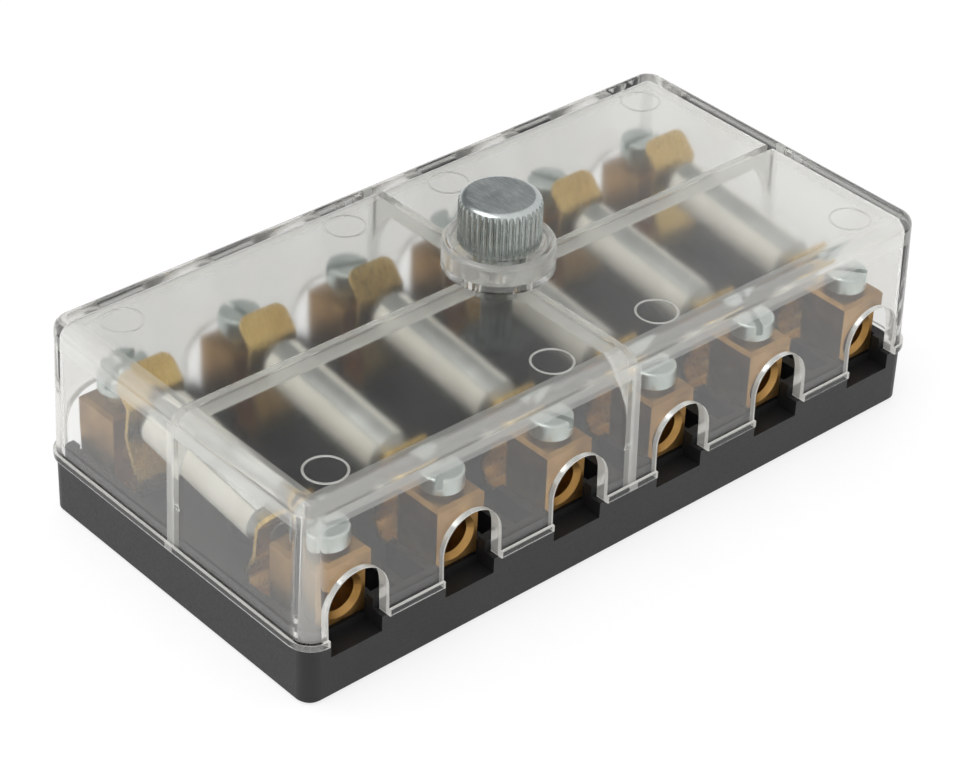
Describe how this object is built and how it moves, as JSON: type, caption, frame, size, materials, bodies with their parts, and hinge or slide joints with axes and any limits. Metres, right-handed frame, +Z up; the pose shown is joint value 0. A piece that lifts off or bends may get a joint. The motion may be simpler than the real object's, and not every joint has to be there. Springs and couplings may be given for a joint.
{
  "type": "fuse box",
  "caption": "Low rectangular fuse box: a black base with brass screw terminals and a row of torpedo fuses under a clear ribbed cover that a central knurled nut holds down.",
  "frame": {"origin": "centre of the base's underside", "axes": "+X along the row of ways, +Y to the back row of terminals, +Z up through the stud and nut"},
  "size_m": [0.1014, 0.0516, 0.0377],
  "materials": {
    "base_plastic": "satin black moulding",
    "cover_plastic": "clear, polished",
    "terminal_brass": "machined brass",
    "contact_brass": "rolled brass strip",
    "zinc_steel": "zinc-plated",
    "nut_metal": "turned and plated",
    "fuse_ceramic": "unglazed white",
    "fuse_metal": "rolled strip"
  },
  "bodies": {
    "base_body": {"base": "base_plastic", "stud": "zinc_steel", "fuse_body_way_1": "fuse_ceramic", "fuse_strip_way_1": "fuse_metal", "terminal_block_front_way_1": "terminal_brass", "spring_contact_front_way_1": "contact_brass", "terminal_block_back_way_1": "terminal_brass", "spring_contact_back_way_1": "contact_brass", "fuse_body_way_2": "fuse_ceramic", "fuse_strip_way_2": "fuse_metal", "terminal_block_front_way_2": "terminal_brass", "spring_contact_front_way_2": "contact_brass", "terminal_block_back_way_2": "terminal_brass", "spring_contact_back_way_2": "contact_brass", "fuse_body_way_3": "fuse_ceramic", "fuse_strip_way_3": "fuse_metal", "terminal_block_front_way_3": "terminal_brass", "spring_contact_front_way_3": "contact_brass", "terminal_block_back_way_3": "terminal_brass", "spring_contact_back_way_3": "contact_brass", "fuse_body_way_4": "fuse_ceramic", "fuse_strip_way_4": "fuse_metal", "terminal_block_front_way_4": "terminal_brass", "spring_contact_front_way_4": "contact_brass", "terminal_block_back_way_4": "terminal_brass", "spring_contact_back_way_4": "contact_brass", "fuse_body_way_5": "fuse_ceramic", "fuse_strip_way_5": "fuse_metal", "terminal_block_front_way_5": "terminal_brass", "spring_contact_front_way_5": "contact_brass", "terminal_block_back_way_5": "terminal_brass", "spring_contact_back_way_5": "contact_brass", "fuse_body_way_6": "fuse_ceramic", "fuse_strip_way_6": "fuse_metal", "terminal_block_front_way_6": "terminal_brass", "spring_contact_front_way_6": "contact_brass", "terminal_block_back_way_6": "terminal_brass", "spring_contact_back_way_6": "contact_brass"},
    "cover_body": {"cover": "cover_plastic"},
    "nut_body": {"knurled_nut": "nut_metal"},
    "clamp_screw_front_way_1_body": {"clamp_screw_front_way_1": "zinc_steel"},
    "clamp_screw_back_way_1_body": {"clamp_screw_back_way_1": "zinc_steel"},
    "clamp_screw_front_way_2_body": {"clamp_screw_front_way_2": "zinc_steel"},
    "clamp_screw_back_way_2_body": {"clamp_screw_back_way_2": "zinc_steel"},
    "clamp_screw_front_way_3_body": {"clamp_screw_front_way_3": "zinc_steel"},
    "clamp_screw_back_way_3_body": {"clamp_screw_back_way_3": "zinc_steel"},
    "clamp_screw_front_way_4_body": {"clamp_screw_front_way_4": "zinc_steel"},
    "clamp_screw_back_way_4_body": {"clamp_screw_back_way_4": "zinc_steel"},
    "clamp_screw_front_way_5_body": {"clamp_screw_front_way_5": "zinc_steel"},
    "clamp_screw_back_way_5_body": {"clamp_screw_back_way_5": "zinc_steel"},
    "clamp_screw_front_way_6_body": {"clamp_screw_front_way_6": "zinc_steel"},
    "clamp_screw_back_way_6_body": {"clamp_screw_back_way_6": "zinc_steel"}
  },
  "joints": [
    {"name": "cover_lift", "type": "slide", "parent": "base_body", "child": "cover_body", "axis": [0, 0, 1], "range_m": [0, 0.035]},
    {"name": "nut_turn", "type": "hinge", "parent": "cover_body", "child": "nut_body", "pos_m": [0, 0, 0.035], "axis": [0, 0, 1], "continuous": true},
    {"name": "clamp_screw_front_way_1_turn", "type": "hinge", "parent": "base_body", "child": "clamp_screw_front_way_1_body", "pos_m": [-0.04275, -0.0185, 0.019], "axis": [0, 0, 1], "continuous": true},
    {"name": "clamp_screw_back_way_1_turn", "type": "hinge", "parent": "base_body", "child": "clamp_screw_back_way_1_body", "pos_m": [-0.04275, 0.0185, 0.019], "axis": [0, 0, 1], "continuous": true},
    {"name": "clamp_screw_front_way_2_turn", "type": "hinge", "parent": "base_body", "child": "clamp_screw_front_way_2_body", "pos_m": [-0.02565, -0.0185, 0.019], "axis": [0, 0, 1], "continuous": true},
    {"name": "clamp_screw_back_way_2_turn", "type": "hinge", "parent": "base_body", "child": "clamp_screw_back_way_2_body", "pos_m": [-0.02565, 0.0185, 0.019], "axis": [0, 0, 1], "continuous": true},
    {"name": "clamp_screw_front_way_3_turn", "type": "hinge", "parent": "base_body", "child": "clamp_screw_front_way_3_body", "pos_m": [-0.00855, -0.0185, 0.019], "axis": [0, 0, 1], "continuous": true},
    {"name": "clamp_screw_back_way_3_turn", "type": "hinge", "parent": "base_body", "child": "clamp_screw_back_way_3_body", "pos_m": [-0.00855, 0.0185, 0.019], "axis": [0, 0, 1], "continuous": true},
    {"name": "clamp_screw_front_way_4_turn", "type": "hinge", "parent": "base_body", "child": "clamp_screw_front_way_4_body", "pos_m": [0.00855, -0.0185, 0.019], "axis": [0, 0, 1], "continuous": true},
    {"name": "clamp_screw_back_way_4_turn", "type": "hinge", "parent": "base_body", "child": "clamp_screw_back_way_4_body", "pos_m": [0.00855, 0.0185, 0.019], "axis": [0, 0, 1], "continuous": true},
    {"name": "clamp_screw_front_way_5_turn", "type": "hinge", "parent": "base_body", "child": "clamp_screw_front_way_5_body", "pos_m": [0.02565, -0.0185, 0.019], "axis": [0, 0, 1], "continuous": true},
    {"name": "clamp_screw_back_way_5_turn", "type": "hinge", "parent": "base_body", "child": "clamp_screw_back_way_5_body", "pos_m": [0.02565, 0.0185, 0.019], "axis": [0, 0, 1], "continuous": true},
    {"name": "clamp_screw_front_way_6_turn", "type": "hinge", "parent": "base_body", "child": "clamp_screw_front_way_6_body", "pos_m": [0.04275, -0.0185, 0.019], "axis": [0, 0, 1], "continuous": true},
    {"name": "clamp_screw_back_way_6_turn", "type": "hinge", "parent": "base_body", "child": "clamp_screw_back_way_6_body", "pos_m": [0.04275, 0.0185, 0.019], "axis": [0, 0, 1], "continuous": true}
  ]
}
